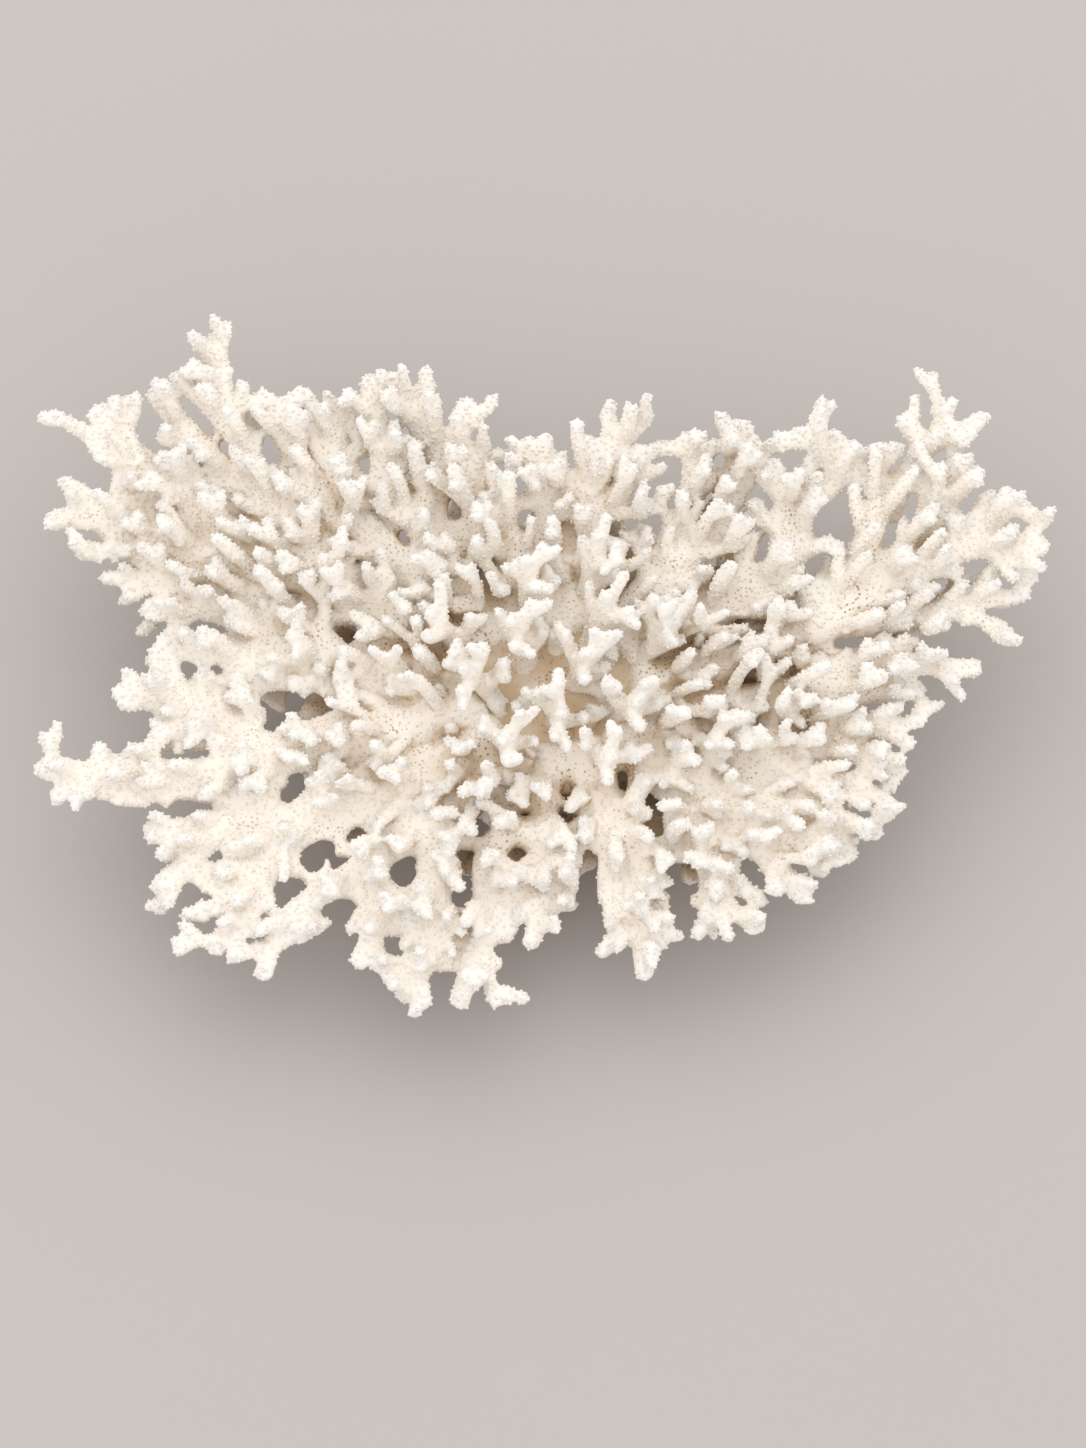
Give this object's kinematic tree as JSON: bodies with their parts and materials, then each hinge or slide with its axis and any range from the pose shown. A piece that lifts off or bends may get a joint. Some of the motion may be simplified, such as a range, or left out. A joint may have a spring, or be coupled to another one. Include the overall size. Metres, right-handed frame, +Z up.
{
  "type": "bleached staghorn coral colony",
  "caption": "Table-shaped branching coral skeleton: forked limbs spread from a short stalk that is cut flat to stand on, with upright twigs all over the top.",
  "frame": {"origin": "middle of the flat cut under the stalk", "axes": "+Z up from the cut, +X along the colony's greater width towards the right of the picture, -Y towards the lower, near rim"},
  "size_m": [0.4002, 0.2765, 0.0961],
  "materials": {
    "coral": "dry matte, porous"
  },
  "bodies": {
    "root": {"base": "coral", "east": "coral", "east_blade": "coral", "east_crest": "coral", "east_low": "coral", "east_north_east": "coral", "east_rim": "coral", "east_south_east": "coral", "north": "coral", "north_antler": "coral", "north_east": "coral", "north_east_crest": "coral", "north_east_far": "coral", "north_east_hook": "coral", "north_finger": "coral", "north_fork": "coral", "north_north_east": "coral", "north_north_west": "coral", "north_pair": "coral", "north_spire": "coral", "north_west": "coral", "north_west_comb": "coral", "north_west_fan": "coral", "north_west_horn": "coral", "south": "coral", "south_east": "coral", "south_east_foot": "coral", "south_east_plate": "coral", "south_east_point": "coral", "south_east_rim": "coral", "south_east_toes": "coral", "south_south_east": "coral", "south_south_west": "coral", "south_trident": "coral", "south_west": "coral", "south_west_claw": "coral", "south_west_foot": "coral", "south_west_long": "coral", "south_west_toes": "coral", "stem_1": "coral", "stem_10": "coral", "stem_11": "coral", "stem_12": "coral", "stem_2": "coral", "stem_3": "coral", "stem_4": "coral", "stem_5": "coral", "stem_6": "coral", "stem_7": "coral", "stem_8": "coral", "stem_9": "coral", "west": "coral", "west_arm": "coral", "west_fan": "coral", "west_north_west": "coral", "west_south_west": "coral", "west_spur": "coral", "west_twig": "coral"}
  },
  "joints": []
}
